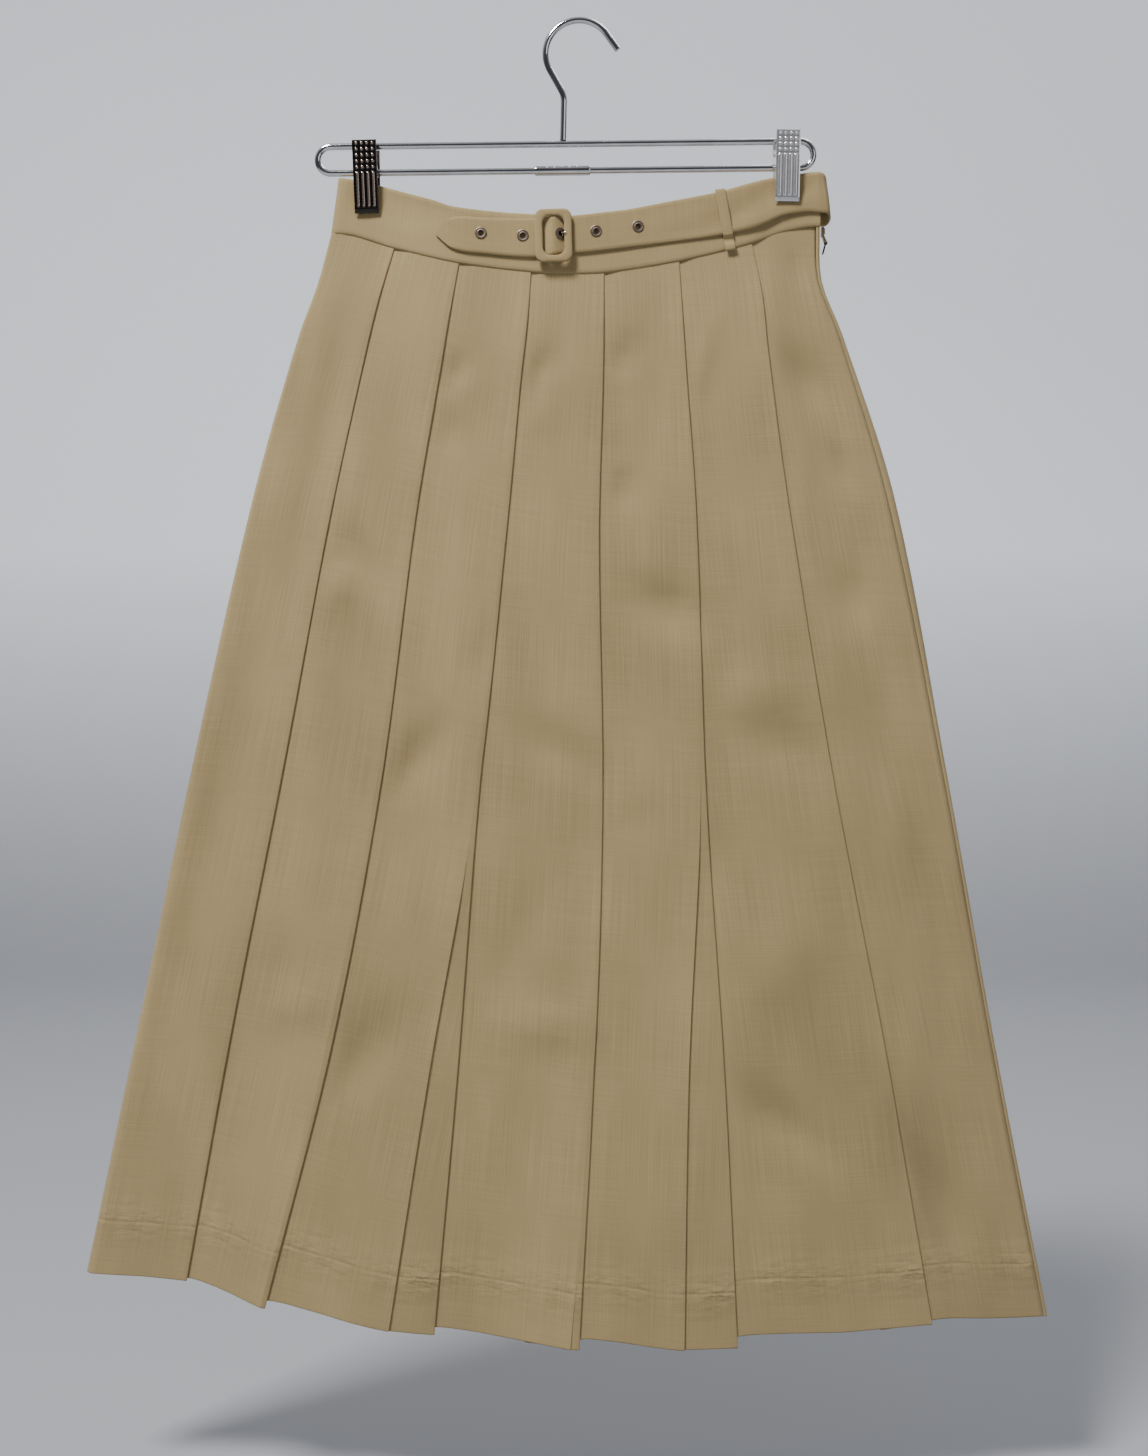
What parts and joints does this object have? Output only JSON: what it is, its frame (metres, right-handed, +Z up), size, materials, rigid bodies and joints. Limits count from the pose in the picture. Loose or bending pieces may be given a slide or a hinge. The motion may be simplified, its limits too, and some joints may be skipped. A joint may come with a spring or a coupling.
{
  "type": "pleated skirt on clip hanger",
  "caption": "Knife-pleated midi skirt with a waistband, buckled self belt and side zip, clipped closed by its waist to a wire skirt hanger.",
  "frame": {"origin": "the point inside the hook that bears on a rail, in the plane of the hanger's wire", "axes": "+X to the viewer's right, -Y the front of the skirt, +Z up"},
  "size_m": [0.672, 0.0632, 0.9192],
  "materials": {
    "skirt_cloth": "plain-woven slubbed linen-like cloth",
    "belt_cloth": "the skirt's cloth over a stiff core",
    "eyelet_metal": "taupe-brown lacquered metal",
    "bright_metal": "bright plated steel",
    "dark_chrome": "dark plated steel",
    "zip_brass": "dull brass",
    "zip_tape": "closed zip chain and tape",
    "pull_metal": "near-black lacquered metal"
  },
  "bodies": {
    "skirt_and_hanger": {"front_panel_1": "skirt_cloth", "front_panel_2": "skirt_cloth", "front_panel_3": "skirt_cloth", "front_panel_4": "skirt_cloth", "front_panel_5": "skirt_cloth", "front_panel_6": "skirt_cloth", "front_panel_7": "skirt_cloth", "back_panel_1": "skirt_cloth", "back_panel_2": "skirt_cloth", "back_panel_3": "skirt_cloth", "back_panel_4": "skirt_cloth", "back_panel_5": "skirt_cloth", "back_panel_6": "skirt_cloth", "back_panel_7": "skirt_cloth", "waistband_front": "skirt_cloth", "waistband_back": "skirt_cloth", "belt_strap": "belt_cloth", "belt_loop": "belt_cloth", "buckle_frame": "belt_cloth", "buckle_tab": "belt_cloth", "eyelet_1": "eyelet_metal", "eyelet_2": "eyelet_metal", "eyelet_3": "eyelet_metal", "eyelet_4": "eyelet_metal", "eyelet_5": "eyelet_metal", "buckle_prong": "bright_metal", "zip_chain": "zip_tape", "zip_slider": "zip_brass", "hanger_hook": "bright_metal", "hanger_loop": "bright_metal", "hanger_ferrule": "bright_metal", "clip_right_front": "bright_metal", "clip_right_back": "bright_metal", "clip_right_spring": "bright_metal", "clip_left_spring": "bright_metal", "clip_left_front": "dark_chrome", "clip_left_back": "dark_chrome"},
    "zip_pull_tab": {"zip_pull": "pull_metal"}
  },
  "joints": [
    {"name": "zip_pull_hinge", "type": "hinge", "parent": "skirt_and_hanger", "child": "zip_pull_tab", "pos_m": [0.1724, -0.0004, -0.1538], "axis": [0, -1, 0], "range_deg": [0, 150]}
  ]
}
